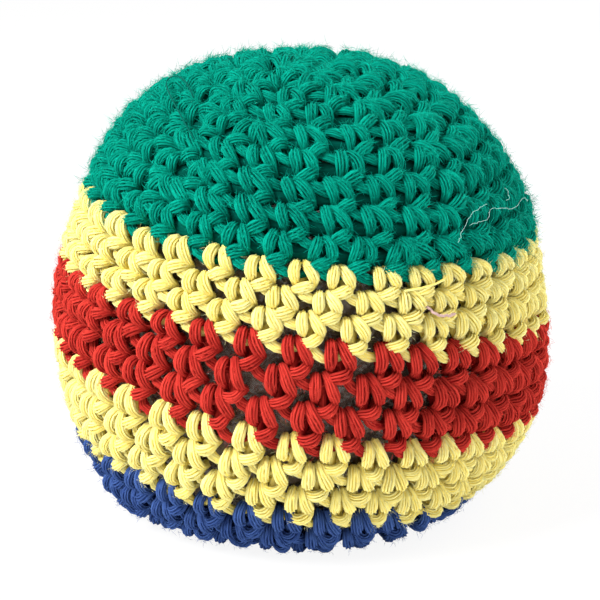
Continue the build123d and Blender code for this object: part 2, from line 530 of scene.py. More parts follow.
def set_coordinates(mesh, points):
    mesh.vertices.foreach_set("co", points.astype(np.float32).ravel())
    mesh.update()


# %% Lines as edge meshes with attributes
def edge_mesh(name, spans, stitches):
    """The spans of some stitches, as edges whose points carry their frame and girth."""
    columns = {"at": [], "out": [], "across": [], "girth": [], "depth": []}
    edges = []
    base = 0
    for samples in spans:
        part = samples[stitches]
        out, across = carried_frames(part[..., :3], part[..., 3:6])
        lines, count = part.shape[:2]
        for key, value in zip(columns, (part[..., :3], out, across, part[..., 7], part[..., 6])):
            columns[key].append(value.reshape(lines * count, -1))
        first = base + np.arange(lines)[:, None] * count + np.arange(count - 1)
        edges.append(np.stack([first, first + 1], -1).reshape(-1, 2))
        base += lines * count
    mesh = bpy.data.meshes.new(name)
    points = np.concatenate(columns.pop("at"))
    links = np.concatenate(edges)
    mesh.vertices.add(len(points))
    mesh.edges.add(len(links))
    mesh.edges.foreach_set("vertices", links.ravel().astype(np.int32))
    set_coordinates(mesh, points)
    for key, parts in columns.items():
        give(mesh, key, np.concatenate(parts))
    return mesh


# %% [markdown]
# ## Strands along a line
#
# The yarn is loosely plied: a few fine strands lie side by side and turn a little.
# One Geometry Nodes tree lays copies of each line round it, fans them over the outer side
# and sweeps a small ring along each. The same tree makes the buried yarn, as one fat strand.

# %% Helpers for Geometry Nodes
def new_tree(name, inputs):
    """A Geometry Nodes tree with named inputs: its graph and what it is given."""
    tree = bpy.data.node_groups.new(name, "GeometryNodeTree")
    tree.interface.new_socket("Geometry", in_out="OUTPUT", socket_type="NodeSocketGeometry")
    tree.interface.new_socket("Geometry", in_out="INPUT", socket_type="NodeSocketGeometry")
    for label, kind in inputs.items():
        tree.interface.new_socket(label, in_out="INPUT", socket_type="NodeSocket" + kind)
    graph = Graph(tree)
    return graph, graph.add("NodeGroupInput")


def end_tree(graph, given, geometry):
    """Ends a tree with real meshes, shaded smooth, in the material that is given."""
    real = graph.add("GeometryNodeRealizeInstances", None, {"Geometry": geometry})
    smooth = graph.add("GeometryNodeSetShadeSmooth", None, {"Geometry": real})
    painted = graph.add("GeometryNodeSetMaterial", None, {
        "Geometry": smooth, "Material": given.out("Material")})
    output = graph.tree.nodes.new("NodeGroupOutput")
    graph.tree.links.new(painted.socket, output.inputs[0])
    print(graph.tree.name, "nodes:", len(graph.tree.nodes))
    return graph.tree


def attribute(graph, name, kind="FLOAT"):
    return graph.add("GeometryNodeInputNamedAttribute", {"data_type": kind}, {"Name": name})


def stored(graph, geometry, name, value, domain="POINT", kind="FLOAT"):
    return graph.add("GeometryNodeStoreNamedAttribute", {"domain": domain, "data_type": kind}, {
        "Geometry": geometry, "Name": name, "Value": value})


def scaled(graph, vector, factor):
    return graph.add("ShaderNodeVectorMath", {"operation": "SCALE"}, {0: vector, "Scale": factor})


def summed(graph, *vectors):
    total = vectors[0]
    for vector in vectors[1:]:
        total = graph.add("ShaderNodeVectorMath", {"operation": "ADD"}, {0: total, 1: vector})
    return total


# %% The strand tree
def strand_tree():
    """Lays strands round each line of a mesh and sweeps a ring along them."""
    graph, given = new_tree("strands_along_a_line", {
        "Strands": "Int", "Sides": "Int", "Strand Radius": "Float", "Half Width": "Float",
        "Half Thickness": "Float", "First Angle": "Float", "Fan": "Float", "Twist": "Float",
        "Wander": "Float", "Seed": "Int", "Material": "Material"})
    lines = graph.add("GeometryNodeMeshToCurve", None, {"Mesh": given.out("Geometry")})
    copies = graph.add("GeometryNodeDuplicateElements", {"domain": "SPLINE"},
                       {"Geometry": lines, "Amount": given.out("Strands")})
    number = copies.out("Duplicate Index")
    share = number / given.out("Strands").math("SUBTRACT", 1).math("MAXIMUM", 1)
    along = graph.add("GeometryNodeSplineParameter").out("Factor")
    angle = (given.out("First Angle") + given.out("Fan") * share
             + given.out("Twist") * (along - 0.5))
    girth = attribute(graph, "girth")
    place_noise = graph.add("ShaderNodeTexNoise", {"noise_dimensions": "4D"}, {
        "Vector": graph.add("GeometryNodeInputPosition"),
        "W": number * 7.3 + given.out("Seed"), "Scale": 450.0, "Detail": 1.0})
    wander = (place_noise - 0.5) * given.out("Wander")
    chance = graph.add("FunctionNodeRandomValue", {"data_type": "FLOAT"}, {
        "ID": number, "Seed": given.out("Seed")})
    across = attribute(graph, "across", "FLOAT_VECTOR")
    out = attribute(graph, "out", "FLOAT_VECTOR")
    reach_across = angle.math("COSINE") * given.out("Half Width") * girth + wander
    reach_out = angle.math("SINE") * given.out("Half Thickness") * girth + wander * 0.6
    outward = summed(graph, scaled(graph, across, angle.math("COSINE")),
                     scaled(graph, out, angle.math("SINE")))
    turned = graph.add("GeometryNodeSetCurveNormal", {"mode": "FREE"}, {
        "Curve": copies, "Normal": outward})
    offset = summed(graph, scaled(graph, across, reach_across), scaled(graph, out, reach_out))
    moved = graph.add("GeometryNodeSetPosition", None, {"Geometry": turned, "Offset": offset})
    line_chance = graph.add("FunctionNodeRandomValue", {"data_type": "FLOAT"}, {
        "Seed": given.out("Seed")})
    marked = stored(graph, moved, "strand", line_chance.out("Value"), "CURVE")
    length = graph.add("GeometryNodeSplineParameter").out("Length")
    measured = stored(graph, marked, "run", length)
    sized = graph.add("GeometryNodeSetCurveRadius", None, {
        "Curve": measured, "Radius": (girth * 0.8 + 0.2) * (0.8 + chance.out("Value") * 0.4)})
    circle = graph.add("GeometryNodeCurvePrimitiveCircle", None, {
        "Resolution": given.out("Sides"), "Radius": given.out("Strand Radius")})
    way = graph.add("ShaderNodeVectorMath", {"operation": "NORMALIZE"}, {
        0: graph.add("GeometryNodeInputPosition")})
    ring = stored(graph, circle, "side", way, kind="FLOAT_VECTOR")
    swept = graph.add("GeometryNodeCurveToMesh", None, {
        "Curve": sized, "Profile Curve": ring, "Fill Caps": True})
    return end_tree(graph, given, swept)


STRANDS = strand_tree()


# %% [markdown]
# A tree runs as a modifier on a source mesh, and its result is kept as a plain mesh.
# The ball stands on its own weight, so whatever would reach below the floor is pressed
# level with it, softly, because a hard cut would leave a sharp line in the yarn.

# %% Running a tree on a mesh
PRESSED = 0.12 * MM  # how softly what reaches the floor is pressed level with it


def grown(name, mesh, tree, settings):
    """The mesh that a tree makes of another, as a plain object at the origin."""
    source = put(name + "_source", mesh)
    modifier = source.modifiers.new(name, "NODES")
    modifier.node_group = tree
    for item in tree.interface.items_tree:
        if item.in_out == "INPUT" and item.name in settings:
            modifier[item.identifier] = settings[item.name]
    result = plain_mesh(source)
    bpy.data.objects.remove(source)
    points = coordinates(result)
    points[:, 2] = PRESSED * np.logaddexp(0, points[:, 2] / PRESSED)
    set_coordinates(result, points)
    result.name = name
    return put(name, result)


# %% [markdown]
# ## The yarn's finish
#
# The yarn is soft and matt. It could be one colour with a bump, but its shade is what makes
# it read as fibre: each strand takes a slightly different one, the top of each strand has a
# painted highlight and the grooves between strands painted shade, yarn that lies deeper is
# painted darker as shade too, and fine streaks run along it. The strand tree has stored where
# on a strand each point is, so the shader only mixes a deep, shaded colour and a light, lit
# one by that.

# %% Yarn finish
# The deep colour is painted shade for the hollows, and the light colour a painted highlight where
# light catches the tops.
YARNS = {  # the colour in the hollows, and on top where light catches the fibres
    "green_yarn": ((0.0, 0.070, 0.050), (0.001, 0.43, 0.30)),
    "yellow_yarn": ((0.98, 0.78, 0.155), (0.99, 0.935, 0.41)),
    "red_yarn": ((0.24, 0.006, 0.007), (0.78, 0.065, 0.045)),
    "blue_yarn": ((0.012, 0.030, 0.13), (0.075, 0.150, 0.42)),
}
# Painted shade: the backing's deep and light colours are darker green than the yarn, standing in
# for the shade inside the crown.
SHADED_GREEN = ((0.0, 0.035, 0.025), (0.0, 0.09, 0.065))  # inside the crown
STREAKS_TO_A_METRE = 400
FIBRE_SHADES = (0.5, 1.3)  # the darkest and the palest fibre, next to the light colour


def new_material(name):
    material = bpy.data.materials.new(name)
    material.use_nodes = True
    material.node_tree.nodes.clear()
    return material, Graph(material.node_tree)


def finish_surface(graph, shader):
    output = graph.tree.nodes.new("ShaderNodeOutputMaterial")
    graph.tree.links.new(shader.socket, output.inputs["Surface"])


def mixed_colours(graph, deep, light, share):
    """The colour between a deep and a light one."""
    return graph.add("ShaderNodeMix", {"data_type": "RGBA"}, {
        "Factor": share, "A": (*deep, 1.0), "B": (*light, 1.0)})


def carried(graph, name, output="Fac"):
    """What the points of a piece carry under a name."""
    return graph.add("ShaderNodeAttribute", {"attribute_name": name}).out(output)


def yarn_material(name, deep, light):
    """Matt yarn, streaked: painted highlight on each strand's top, painted shade in grooves and
    depths.
    """
    material, graph = new_material(name)
    strand, run, depth = (carried(graph, what) for what in ("strand", "run", "depth"))
    side = carried(graph, "side", "Vector")
    # Painted highlight and shade: side X is 1 on a strand's top and lower on its flanks, so tops
    # get the light colour and flanks the deep one.
    top = graph.add("ShaderNodeSeparateXYZ", None, {"Vector": side}).out("X")
    along = graph.add("ShaderNodeCombineXYZ", None, {
        "X": strand * 31, "Y": strand * 57, "Z": run * STREAKS_TO_A_METRE})
    streaks = graph.add("ShaderNodeTexNoise", None, {
        "Vector": summed(graph, scaled(graph, side, 3.0), along), "Scale": 1.0, "Detail": 3.0,
        "Roughness": 0.7})
    patches = graph.add("ShaderNodeTexNoise", None, {
        "Vector": graph.add("ShaderNodeTexCoord").out("Object"), "Scale": 160.0, "Detail": 1.0})
    # Painted shade: top * 0.42 lightens the tops and depth * 0.12 darkens yarn that lies deeper;
    # strand and patches vary the tone at random.
    share = (0.30 + strand * 0.3 + top * 0.42 + (streaks - 0.5) * 1.8
             + (patches - 0.5) * 0.4 - depth * 0.12)
    tint = mixed_colours(graph, deep, light, share)
    bump = graph.add("ShaderNodeBump", None, {
        "Strength": 0.9, "Distance": 0.0002, "Height": streaks})
    coat = graph.add("ShaderNodeBsdfPrincipled", None, {
        "Base Color": tint, "Roughness": 0.9, "Specular IOR Level": 0.03, "Normal": bump})
    finish_surface(graph, coat)
    return material


def fibre_material(name, light):
    """Single fibres, some paler than others."""
    material, graph = new_material(name)
    darkest, palest = (tuple(min(level * shade, 1.0) for level in light)
                       for shade in FIBRE_SHADES)
    tint = mixed_colours(graph, darkest, palest, carried(graph, "strand"))
    coat = graph.add("ShaderNodeBsdfPrincipled", None, {
        "Base Color": tint, "Roughness": 0.8, "Specular IOR Level": 0.05})
    finish_surface(graph, coat)
    return material


yarn_finish = {name: yarn_material(name, *pair) for name, pair in YARNS.items()}
# The fibres are tinted from each yarn's light colour, its painted highlight, so their paleness is
# partly painted light.
fuzz_finish = {name: fibre_material(name + "_fibre", pair[1]) for name, pair in YARNS.items()}
print("yarn finishes:", list(yarn_finish))

# %% [markdown]
# Each band is worked in one colour. Where the yarn shows it is a bundle of seven strands,
# fanned over its outer side, and what is buried is one plain strand.
# The crown's holes are closed by the backs of its stitches. A thick tube along the spiral,
# behind them, does that, because nothing more of those backs is ever seen. Its dark green is
# painted shade, for the shaded inside of the crown.

# %% Sizes of the yarn
BAND_YARN = {
    "green_crown": "green_yarn", "upper_yellow_band": "yellow_yarn", "red_band": "red_yarn",
    "lower_yellow_band": "yellow_yarn", "blue_base": "blue_yarn"}
WORKED = {"Strands": 7, "Sides": 3, "Strand Radius": 0.215 * MM, "Half Width": 0.52 * MM,
          "Half Thickness": 0.40 * MM, "First Angle": math.radians(-25),
          "Fan": math.radians(230), "Twist": math.radians(30), "Wander": 0.30 * MM, "Seed": 3}
CORE = {"Strands": 1, "Sides": 4, "Strand Radius": 0.56 * MM, "Half Width": 0.0,
        "Half Thickness": 0.0, "First Angle": 0.0, "Fan": 0.0, "Twist": 0.0, "Wander": 0.0,
        "Seed": 3}
STITCHES_TO_A_PIECE = 90
BACKING_DEPTH = 3.1 * MM  # where the backs of the crown's stitches close its holes
BACKING_DOWN = 0.55  # of a round, from a stitch's start
BACKING_ALONG = 0.1  # of a radian, further round than a stitch's start
BACKING_START = 0.5  # of a round before the first stitch, to close the crown's middle
BACKING = CORE | {"Strand Radius": 1.3 * MM, "Sides": 6}
print("yarn about this thick, in mm:",
      round(2 * (WORKED["Half Width"] + WORKED["Strand Radius"]) / MM, 2))


def crown_backing(stitches):
    """A tube along the spiral, under the gaps between the crown's stitches."""
    rounds = np.concatenate([np.arange(-BACKING_START, 0, 0.1), starts[stitches]])
    points, outward = place(
        *slid(rounds + BACKING_DOWN, spiral_angle(rounds) + BACKING_ALONG),
        np.full(len(rounds), BACKING_DEPTH))
    # The depth of 2 mm only darkens the tube further in the yarn shader: painted shade.
    depth_and_girth = np.ones((len(rounds), 2)) * (2.0, 1.0)
    line = np.concatenate([points, outward, depth_and_girth], 1)
    return grown("green_crown_backing", edge_mesh("crown_backing_line", [line[None]], [0]),
                 STRANDS, BACKING | {
                     "Material": yarn_material("shaded_green_yarn", *SHADED_GREEN)})


# %% Yarn pieces
colour_changes = band_ends[:-1] - 0.5  # at the back, half a round from the front
bands = dict(zip(ROUNDS, np.split(
    np.arange(total - 1), np.searchsorted(starts[:-1], colour_changes))))
for band, stitches in bands.items():
    finish = yarn_finish[BAND_YARN[band]]
    inner = edge_mesh(f"{band}_inner_lines", inner_spans, stitches)
    parts = [grown(f"{band}_inner_yarn", inner, STRANDS, CORE | {"Material": finish})]
    shares = np.array_split(stitches, math.ceil(len(stitches) / STITCHES_TO_A_PIECE))
    for number, share in enumerate(shares, 1):
        lines = edge_mesh(f"{band}_lines_{number}", shown_spans, share)
        parts.append(grown(f"{band}_stitches_{number}", lines, STRANDS,
                           WORKED | {"Material": finish}))
    if band == "green_crown":
        parts.append(crown_backing(stitches))
    for part in parts:
        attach(part, "root")
    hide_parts(band)
    print(band, len(stitches), "stitches,", sum(len(p.data.polygons) for p in parts), "faces")

# %% [markdown]
# ## The film bag
#
# Through the holes between the stitches shows a bag of thin clear film. It is a pad of
# pellets, so it starts a little small, is blown up as cloth with its movement capped, and is
# then crumpled finely, because stiff film keeps every crease.

# %% The bag's skin
BAG_DEPTH = 3.1 * MM
BAG_SIDES = 64
BAG_RINGS = 40


def bag_start():
    """A closed bag under the cover, as rings from pole to pole."""
    down = np.linspace(0, all_rounds, BAG_RINGS + 2)[1:-1]
    turn = np.arange(BAG_SIDES) * 2 * math.pi / BAG_SIDES
    rings, _ = place(down[:, None] + 0 * turn, turn + 0 * down[:, None], BAG_DEPTH)
    top = place(np.zeros(1), np.zeros(1), BAG_DEPTH)[0]
    low = place(np.full(1, all_rounds), np.zeros(1), BAG_DEPTH)[0]
    top[0, :2] = low[0, :2] = 0
    points = np.concatenate([rings.reshape(-1, 3), top, low])
    faces = []
    for ring in range(BAG_RINGS - 1):
        for side in range(BAG_SIDES):
            after = (side + 1) % BAG_SIDES
            a, b = ring * BAG_SIDES + side, ring * BAG_SIDES + after
            faces.append((a, a + BAG_SIDES, b + BAG_SIDES, b))
    last = (BAG_RINGS - 1) * BAG_SIDES
    for side in range(BAG_SIDES):
        after = (side + 1) % BAG_SIDES
        faces.append((len(points) - 2, side, after))
        faces.append((len(points) - 1, last + after, last + side))
    mesh = bpy.data.meshes.new("film_bag")
    mesh.from_pydata(points.tolist(), [], faces)
    mesh.validate()
    return mesh


film_bag = put("film_bag", bag_start())
print("bag faces at the start:", len(film_bag.data.polygons))


# %% Blow the bag up as cloth
BAG_VOXEL = 3.0 * MM
BAG_SHRINK = 0.985
BAG_CAP = 1.5 * MM  # the most that any point may move
BAG_FRAMES = 20


def baked(piece, kind, settings):
    """The piece's mesh with one more modifier worked in."""
    modifier = piece.modifiers.new(kind, kind)
    for name, value in settings.items():
        setattr(modifier, name, value)
    mesh = plain_mesh(piece)
    piece.modifiers.remove(modifier)
    piece.data = mesh


def blow_up(piece):
    """Cloth with pressure and no gravity, its movement capped."""
    before = coordinates(piece.data)
    cloth = piece.modifiers.new("cloth", "CLOTH")
    cloth.settings.use_pressure = True
    cloth.settings.uniform_pressure_force = 4
    cloth.settings.effector_weights.gravity = 0
    cloth.settings.mass = 0.05
    cloth.point_cache.frame_start = 1
    cloth.point_cache.frame_end = BAG_FRAMES
    for frame in range(1, BAG_FRAMES + 1):
        bpy.context.scene.frame_set(frame)
    graph = bpy.context.evaluated_depsgraph_get()
    after = coordinates(piece.evaluated_get(graph).data)
    piece.modifiers.remove(cloth)
    bpy.context.scene.frame_set(1)
    moved = after - before
    length = np.linalg.norm(moved, axis=1, keepdims=True)
    moved *= np.minimum(1, BAG_CAP / np.maximum(length, 1e-9))
    set_coordinates(piece.data, before + moved)
    return float(length.max())


baked(film_bag, "REMESH", {"mode": "VOXEL", "voxel_size": BAG_VOXEL})
set_coordinates(film_bag.data, middle + (coordinates(film_bag.data) - middle) * BAG_SHRINK)
print("cloth moved mm:", round(blow_up(film_bag) / MM, 2))
baked(film_bag, "SUBSURF", {"levels": 2, "render_levels": 2})

# %% [markdown]
# Film that has been handled is creased all over, finely and not in round waves. The ridges
# come from the fold in a noise, where it crosses nought, at two sizes.

# %% Crumple the film
CREASE = 0.55 * MM
COARSE_CREASES, FINE_CREASES = 260, 640  # to a metre, about


def crumpled(point):
    """How far out the film stands at a point: ridges of two sizes."""
    coarse = abs(noise.noise(Vector(point) * COARSE_CREASES))
    fine = abs(noise.noise(Vector(point) * FINE_CREASES + Vector((5, 1, 3))))
    return CREASE * (0.75 - 1.6 * coarse - 0.8 * fine)


points = coordinates(film_bag.data)
outward = unit(points - middle)
rise = np.array([crumpled(point) for point in points])
set_coordinates(film_bag.data, points + outward * rise[:, None])
film_bag.data.shade_smooth()
print("bag faces:", len(film_bag.data.polygons))


# %% [markdown]
# The film is clear and a little smoky with handling. Glass would be truer, but it is slow,
# and a thin film hardly bends light, so a glossy plastic that is part see-through will do.

# %% Film finish
def film_material():
    """Thin clear film, a little smoky, bright where a crease catches the light."""
    material, graph = new_material("clear_film")
    place_on = graph.add("ShaderNodeTexCoord").out("Object")
    creases = graph.add("ShaderNodeTexNoise", None, {
        "Vector": place_on, "Scale": 420.0, "Detail": 2.0, "Roughness": 0.5, "Distortion": 1.5})
    bump = graph.add("ShaderNodeBump", None, {
        "Strength": 0.9, "Distance": 0.0010, "Height": creases})
    film = graph.add("ShaderNodeBsdfPrincipled", None, {
        "Base Color": (0.23, 0.175, 0.13, 1), "Roughness": 0.13, "Specular IOR Level": 1.0,
        "Alpha": 0.6, "Normal": bump})
    finish_surface(graph, film)
    return material


film_bag.data.materials.clear()
film_bag.data.materials.append(film_material())
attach(film_bag, "root")
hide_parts("film_liner")
print("film's nodes:", len(film_bag.data.materials[0].node_tree.nodes))

# %% [markdown]
# ## The pellets
#
# The bag is full of small plastic pellets, packed as close as they fall. A lattice of
# points fills the bag, and Geometry Nodes puts a squat pellet on each, turned at random.

# %% Where the pellets lie
PELLET_GAP = 4.2 * MM
PELLET_SCATTER = 0.03  # of the gap
PELLET_SEED = 11
PELLET_RADIUS = 2.0 * MM
PELLET_DEPTH = BAG_DEPTH + 1.0 * MM + PELLET_RADIUS
POCKET_RADIUS = 5.5 * MM + PELLET_RADIUS  # round the bag's neck, where no pellet lies
POCKET_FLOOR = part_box("liner_tie")[0].z - 1.5 * MM - PELLET_RADIUS
print("first pellets lie this deep, in mm:", round(PELLET_DEPTH / MM, 2))


def pellet_places():
    """Close-packed points inside the bag, each moved a little."""
    reach = int(ball_radius / PELLET_GAP) + 2
    a, b, c = (grid.ravel() for grid in np.mgrid[-reach:reach, -reach:reach, -reach:reach])
    points = PELLET_GAP * np.stack([
        a + 0.5 * ((b + c) % 2), (b + (c % 2) / 3) * math.sqrt(0.75), c * math.sqrt(2 / 3)], 1)
    points += np.random.default_rng(PELLET_SEED).normal(
        scale=PELLET_SCATTER * PELLET_GAP, size=points.shape)
    inner, _ = place(np.linspace(0, all_rounds, 200), np.zeros(200), PELLET_DEPTH)
    order = np.argsort(inner[:, 2])
    points += middle
    reach = np.hypot(points[:, 0], points[:, 1])
    width = np.interp(points[:, 2], inner[order, 2], inner[order, 0], 0, 0)
    in_pocket = (reach < POCKET_RADIUS) & (points[:, 2] > POCKET_FLOOR)
    return points[(reach < width) & ~in_pocket]


# %% The pellet tree and its plastic
def pellet_tree():
    """Puts a squat pellet on each point, turned at random."""
    graph, given = new_tree("pellets_in_a_bag", {
        "Radius": "Float", "Flatness": "Float", "Seed": "Int", "Material": "Material"})
    pellet = graph.add("GeometryNodeMeshUVSphere", None, {
        "Segments": 6, "Rings": 4, "Radius": given.out("Radius")})
    squat = graph.add("ShaderNodeCombineXYZ", None, {
        "X": 1.0, "Y": 1.0, "Z": given.out("Flatness")})
    shaped = graph.add("GeometryNodeTransform", None, {"Geometry": pellet, "Scale": squat})
    turn = graph.add("FunctionNodeRandomValue", {"data_type": "FLOAT_VECTOR"}, {
        "Max": (6.28, 6.28, 6.28), "Seed": given.out("Seed")})
    points = graph.add("GeometryNodeMeshToPoints", None, {"Mesh": given.out("Geometry")})
    laid = graph.add("GeometryNodeInstanceOnPoints", None, {
        "Points": points, "Instance": shaped, "Rotation": turn})
    return end_tree(graph, given, laid)


def pellet_material():
    """Dull dark plastic, some pellets darker than others."""
    material, graph = new_material("pellet_plastic")
    place_on = graph.add("ShaderNodeTexCoord").out("Object")
    cells = graph.add("ShaderNodeTexNoise", None, {"Vector": place_on, "Scale": 120.0})
    shade = 0.6 + cells * 0.8
    tint = graph.add("ShaderNodeVectorMath", {"operation": "SCALE"}, {
        0: (0.055, 0.04, 0.032), "Scale": shade})
    plastic = graph.add("ShaderNodeBsdfPrincipled", None, {
        "Base Color": tint, "Roughness": 0.35})
    finish_surface(graph, plastic)
    return material


# %% Fill the bag
places = pellet_places()
seeds = bpy.data.meshes.new("pellet_places")
seeds.from_pydata(places.tolist(), [], [])
pellets = grown("pellets", seeds, pellet_tree(), {
    "Radius": PELLET_RADIUS, "Flatness": 0.85, "Seed": 5, "Material": pellet_material()})
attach(pellets, "root")
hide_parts("pellet_fill")
print("pellets:", len(places), "faces:", len(pellets.data.polygons))

# %% [markdown]
# ## Knots and the bag's tie
#
# Four knots join one yarn to the next, two more hold the spiral's start and end, and a
# thread ties the bag. They could be tied again as curves, but they are hidden, and the CAD
# solids have their shape, so they keep it and get the finish of yarn and thread.

# %% Finish of the small pieces
KNOTS = {
    "green_start_knot": "green_yarn", "green_yellow_knot": "yellow_yarn",
    "yellow_red_knot": "red_yarn", "red_yellow_knot": "yellow_yarn",
    "yellow_blue_knot": "blue_yarn", "blue_end_knot": "blue_yarn"}


def thread_material():
    """White cotton thread with a diagonal twist."""
    material, graph = new_material("tie_thread")
    place_on = graph.add("ShaderNodeTexCoord").out("Object")
    twist = graph.add("ShaderNodeTexWave", {"bands_direction": "DIAGONAL"}, {
        "Vector": place_on, "Scale": 700.0, "Distortion": 1.0})
    shade = 0.75 + twist * 0.35
    tint = graph.add("ShaderNodeVectorMath", {"operation": "SCALE"}, {
        0: (0.75, 0.72, 0.66), "Scale": shade})
    bump = graph.add("ShaderNodeBump", None, {
        "Strength": 0.6, "Distance": 0.0001, "Height": twist})
    thread = graph.add("ShaderNodeBsdfPrincipled", None, {
        "Base Color": tint, "Roughness": 0.8, "Normal": bump})
    finish_surface(graph, thread)
    return material


small_finish = {node: yarn_finish[yarn] for node, yarn in KNOTS.items()}
small_finish["liner_tie"] = thread_material()
for node, material in small_finish.items():
    slots = bpy.data.objects[node].material_slots
    for slot in slots:
        slot.material = material
    print(node, len(slots), "slot")

# %% [markdown]
# ## Fuzz
#
# Fine fibres cover the yarn everywhere: most are felted down along it, and some stray.
# Hair curves would do, but they can't be kept as a plain mesh. So roots are chosen along
# the outer side of the stitches, and Geometry Nodes lays a thin curled spindle on each.

# %% Where the fibres root
FELT = {  # short fibres, combed along the yarn: number to a stitch and the longest in mm
    "green_crown": (250, 2.1), "upper_yellow_band": (55, 1.3), "red_band": (75, 1.4),
    "lower_yellow_band": (55, 1.3), "blue_base": (70, 1.3)}
STRAY = {  # fibres that stand off it
    "green_crown": (150, 1.0), "upper_yellow_band": (80, 0.9), "red_band": (110, 1.1),
    "lower_yellow_band": (80, 0.9), "blue_base": (50, 0.8)}
OUTER_DEPTH = 1.7  # mm, how deep the yarn still shows
ROOT_SPREAD = 0.6  # mm, how far to the side of a line a fibre may root
ROOT_DROP = 0.4  # mm, how much lower it roots there
SHORTEST = 0.45  # its square is the shortest fibre's share of the longest
print("fibres to a stitch:", {band: FELT[band][0] + STRAY[band][0] for band in FELT})


def fibre_roots(stitches, number, longest, height, combed, rise, seed):
    """Places on the outer side of some stitches, and the way each fibre leaves."""
    random = np.random.default_rng(seed)
    samples = np.concatenate([part[stitches] for part in shown_spans], 1)
    ways = unit(np.gradient(samples[..., :3], axis=1))
    stitch = random.integers(0, len(stitches), number * len(stitches))
    sample = random.integers(0, samples.shape[1], len(stitch))
    shown = samples[stitch, sample, 6] < OUTER_DEPTH
    chosen, way = samples[stitch, sample][shown], ways[stitch, sample][shown]
    out = unit(chosen[:, 3:6])
    sideways = unit(np.cross(out, random.normal(size=out.shape)))
    reach = random.uniform(0, 1, (len(out), 1))
    at = (chosen[:, :3] + out * (height - ROOT_DROP * reach**2) * MM
          + sideways * reach * ROOT_SPREAD * MM)
    drift = unit(np.cross(out, random.normal(size=out.shape)))
    along = way * random.choice([-1, 1], (len(out), 1)) * combed
    lean = unit(drift + along + out * random.uniform(-0.15, rise, (len(out), 1)))
    length = random.uniform(SHORTEST, 1.0, len(out)) ** 2 * longest * MM
    return at, lean, length, random.uniform(0, 1, len(out))


# %% The fibre tree
def fibre_tree():
    """Puts a long thin spindle on each root and curls it."""
    graph, given = new_tree("fibres_from_roots", {
        "Thickness": "Float", "Rings": "Int", "Curl": "Float", "Curl Size": "Float",
        "Material": "Material"})
    spindle = graph.add("GeometryNodeMeshUVSphere", None, {
        "Segments": 3, "Rings": given.out("Rings"), "Radius": 0.5})
    height = graph.add("ShaderNodeSeparateXYZ", None, {
        "Vector": graph.add("GeometryNodeInputPosition")}).out("Z") + 0.5
    raised = graph.add("GeometryNodeSetPosition", None, {
        "Geometry": stored(graph, spindle.out("Mesh"), "along", height),
        "Offset": (0.0, 0.0, 0.5)})
    points = graph.add("GeometryNodeMeshToPoints", None, {"Mesh": given.out("Geometry")})
    aimed = graph.add("FunctionNodeAlignRotationToVector", None, {
        "Vector": attribute(graph, "lean", "FLOAT_VECTOR")})
    length = attribute(graph, "length")
    size = graph.add("ShaderNodeCombineXYZ", None, {
        "X": given.out("Thickness"), "Y": given.out("Thickness"), "Z": length})
    laid = graph.add("GeometryNodeInstanceOnPoints", None, {
        "Points": points, "Instance": raised, "Rotation": aimed, "Scale": size})
    real = graph.add("GeometryNodeRealizeInstances", None, {"Geometry": laid})
    root = graph.add("GeometryNodeInputPosition")
    swirl = graph.add("ShaderNodeTexNoise", {"noise_dimensions": "4D"}, {
        "Vector": root, "W": attribute(graph, "chance") * 40,
        "Scale": given.out("Curl Size"), "Detail": 0.0})
    centred = graph.add("ShaderNodeVectorMath", {"operation": "SUBTRACT"}, {
        0: swirl.out("Color"), 1: (0.5, 0.5, 0.5)})
    push = attribute(graph, "along") * given.out("Curl")
    curled = graph.add("GeometryNodeSetPosition", None, {
        "Geometry": real, "Offset": scaled(graph, centred, push)})
    named = stored(graph, curled, "strand", attribute(graph, "chance"))
    return end_tree(graph, given, named)


FIBRES = fibre_tree()


# %% Fuzz on each band
FELT_SHAPE = {"Thickness": 0.042 * MM, "Rings": 2, "Curl": 0.7 * MM, "Curl Size": 900.0}
STRAY_SHAPE = {"Thickness": 0.022 * MM, "Rings": 3, "Curl": 1.8 * MM, "Curl Size": 1100.0}
FELT_WAY = (0.80, 1.6, 0.2)  # mm off the line, pull along the yarn, and rise off it
STRAY_WAY = (0.65, 0.0, 1.0)


def root_mesh(name, at, lean, length, chance):
    mesh = bpy.data.meshes.new(name)
    mesh.from_pydata(at.tolist(), [], [])
    for key, values in (("lean", lean), ("length", length), ("chance", chance)):
        give(mesh, key, values)
    return mesh


for number, (band, stitches) in enumerate(bands.items()):
    for kind, amounts, shape, way, seed in (
            ("felt", FELT, FELT_SHAPE, FELT_WAY, number + 10),
            ("stray_fibres", STRAY, STRAY_SHAPE, STRAY_WAY, number)):
        roots = root_mesh(f"{band}_roots", *fibre_roots(
            stitches, *amounts[band], *way, seed))
        fuzz = grown(f"{band}_{kind}", roots, FIBRES, shape | {
            "Material": fuzz_finish[BAND_YARN[band]]})
        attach(fuzz, "root")
        print(fuzz.name, len(roots.vertices), "fibres,", len(fuzz.data.polygons), "faces")

# %% [markdown]
# ## Loose threads
#
# A juggled ball snags and picks up lint. One green ply has been pulled out in a loop, a
# yellow ply lies loose across its row, and pale lint clings to the crown and to one stitch.
# Each is a line of a few places: rounds down, angle round the ball and height off it in mm.
# The strand tree sweeps it as one round strand, so it needs no tool of its own.

